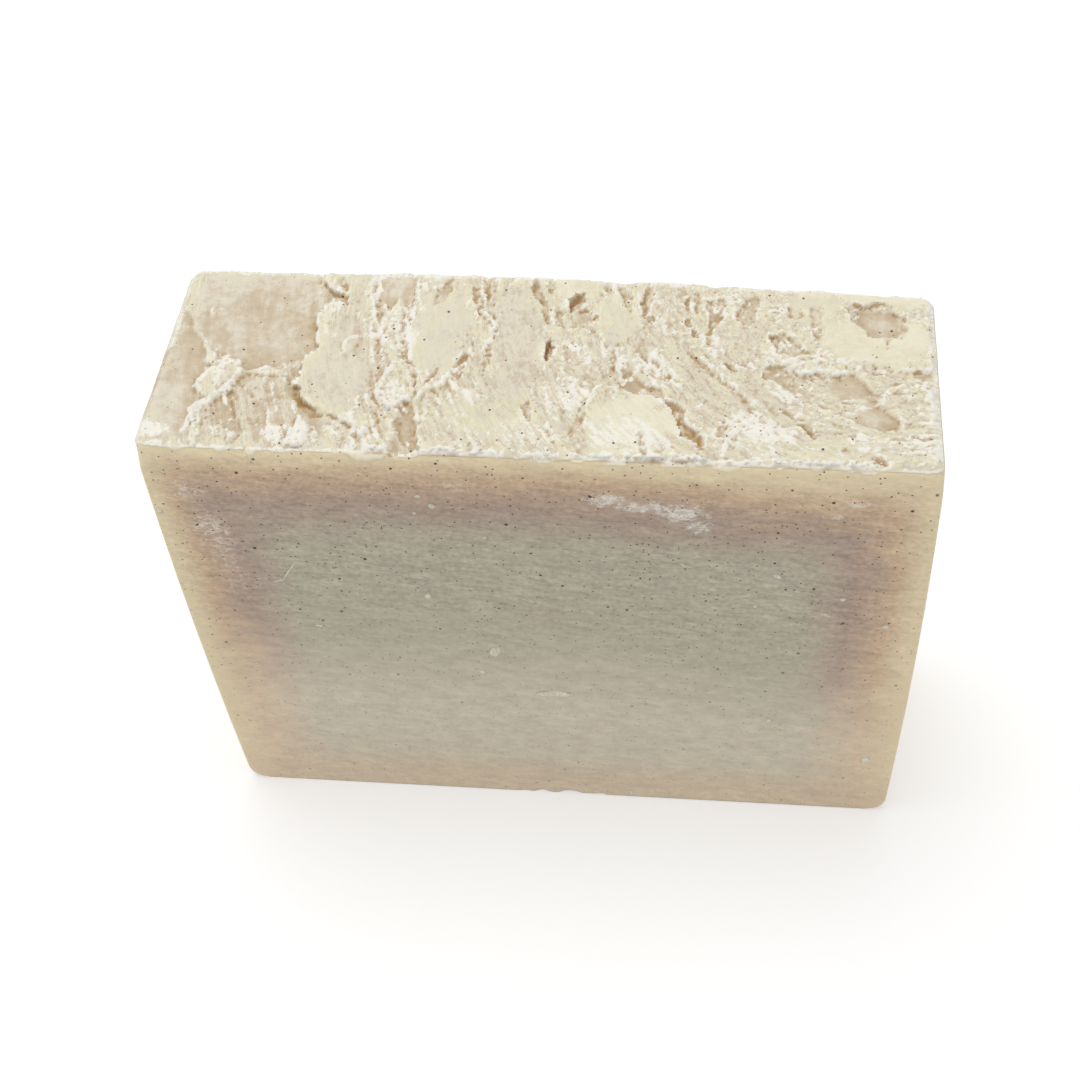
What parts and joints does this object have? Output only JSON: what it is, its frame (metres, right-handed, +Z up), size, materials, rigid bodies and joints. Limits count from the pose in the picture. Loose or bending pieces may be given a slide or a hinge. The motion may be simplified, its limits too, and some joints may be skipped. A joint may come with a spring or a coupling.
{
  "type": "bar of soap",
  "caption": "Rectangular slice of handmade soap standing on its long narrow edge, with smooth cut faces and a rough torn crust on top.",
  "frame": {"origin": "centre of the base, the narrow face that lay on the bottom of the loaf mould", "axes": "+X across the loaf along the bar's length, +Y from the front cut face to the back cut face, +Z up to the torn crust"},
  "size_m": [0.0838, 0.0276, 0.0646],
  "materials": {
    "soap": "smooth and waxy on the cut faces, rough and matt on the torn crust"
  },
  "bodies": {
    "root": {"soap_bar": "soap"}
  },
  "joints": []
}
